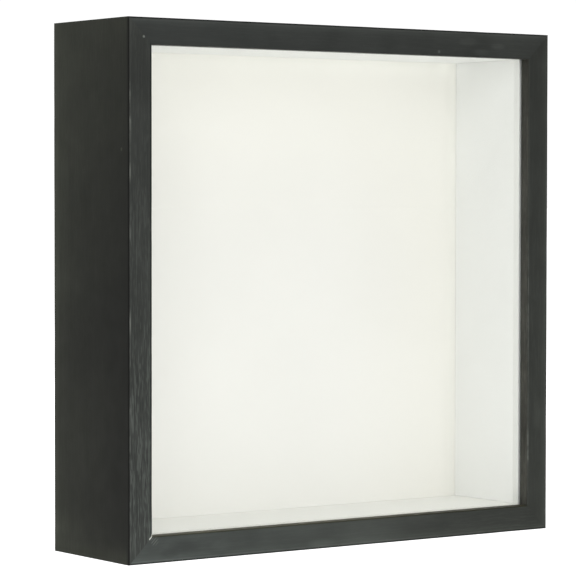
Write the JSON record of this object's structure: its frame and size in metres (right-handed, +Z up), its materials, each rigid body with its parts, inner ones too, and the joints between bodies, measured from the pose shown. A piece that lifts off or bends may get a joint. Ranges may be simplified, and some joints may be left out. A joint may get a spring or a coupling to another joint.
{
  "type": "shadow box",
  "caption": "Deep square shadow box: black mitred wood case with a glass front, a white lined interior and a lift-out back held by turn buttons.",
  "frame": {"origin": "middle of the underside, between the front of the case and the back of the rubber bumpers", "axes": "+X to the right seen from the front, +Y from the front to the back, +Z up; the glass faces -Y"},
  "size_m": [0.32, 0.0882, 0.32],
  "materials": {
    "black_wood": "matte",
    "glass": "polished",
    "white_liner": "matte",
    "white_display": "matte",
    "foam_board": "matte",
    "brown_mdf": "matte",
    "black_steel": "satin",
    "zinc_steel": "satin",
    "black_rubber": "matte"
  },
  "bodies": {
    "case": {"top_rail": "black_wood", "bottom_rail": "black_wood", "left_stile": "black_wood", "right_stile": "black_wood", "corner_v_nails": "zinc_steel", "glass_pane": "glass", "liner_top": "white_liner", "liner_bottom": "white_liner", "liner_left": "white_liner", "liner_right": "white_liner", "turn_button_screws": "zinc_steel", "sawtooth_hanger_left": "zinc_steel", "sawtooth_hanger_right": "zinc_steel", "hanger_nails": "zinc_steel", "rubber_bumpers": "black_rubber"},
    "backing": {"display_board": "white_display", "foam_pad": "foam_board", "back_panel": "brown_mdf"},
    "button_1": {"turn_button_1": "black_steel"},
    "button_2": {"turn_button_2": "black_steel"},
    "button_3": {"turn_button_3": "black_steel"},
    "button_4": {"turn_button_4": "black_steel"},
    "button_5": {"turn_button_5": "black_steel"},
    "button_6": {"turn_button_6": "black_steel"},
    "button_7": {"turn_button_7": "black_steel"},
    "button_8": {"turn_button_8": "black_steel"}
  },
  "joints": [
    {"name": "backing_lift_out", "type": "slide", "parent": "case", "child": "backing", "axis": [0, 1, 0], "range_m": [0, 0.12]},
    {"name": "turn_button_1_pivot", "type": "hinge", "parent": "case", "child": "button_1", "pos_m": [0.085, 0.0419, 0.3146], "axis": [0, 1, 0], "range_deg": [-90, 0]},
    {"name": "turn_button_2_pivot", "type": "hinge", "parent": "case", "child": "button_2", "pos_m": [-0.085, 0.0419, 0.3146], "axis": [0, -1, 0], "range_deg": [-90, 0]},
    {"name": "turn_button_3_pivot", "type": "hinge", "parent": "case", "child": "button_3", "pos_m": [-0.085, 0.0419, 0.0054], "axis": [0, 1, 0], "range_deg": [-90, 0]},
    {"name": "turn_button_4_pivot", "type": "hinge", "parent": "case", "child": "button_4", "pos_m": [0.085, 0.0419, 0.0054], "axis": [0, -1, 0], "range_deg": [-90, 0]},
    {"name": "turn_button_5_pivot", "type": "hinge", "parent": "case", "child": "button_5", "pos_m": [-0.1546, 0.0419, 0.245], "axis": [0, 1, 0], "range_deg": [-90, 0]},
    {"name": "turn_button_6_pivot", "type": "hinge", "parent": "case", "child": "button_6", "pos_m": [-0.1546, 0.0419, 0.075], "axis": [0, -1, 0], "range_deg": [-90, 0]},
    {"name": "turn_button_7_pivot", "type": "hinge", "parent": "case", "child": "button_7", "pos_m": [0.1546, 0.0419, 0.075], "axis": [0, 1, 0], "range_deg": [-90, 0]},
    {"name": "turn_button_8_pivot", "type": "hinge", "parent": "case", "child": "button_8", "pos_m": [0.1546, 0.0419, 0.245], "axis": [0, -1, 0], "range_deg": [-90, 0]}
  ]
}
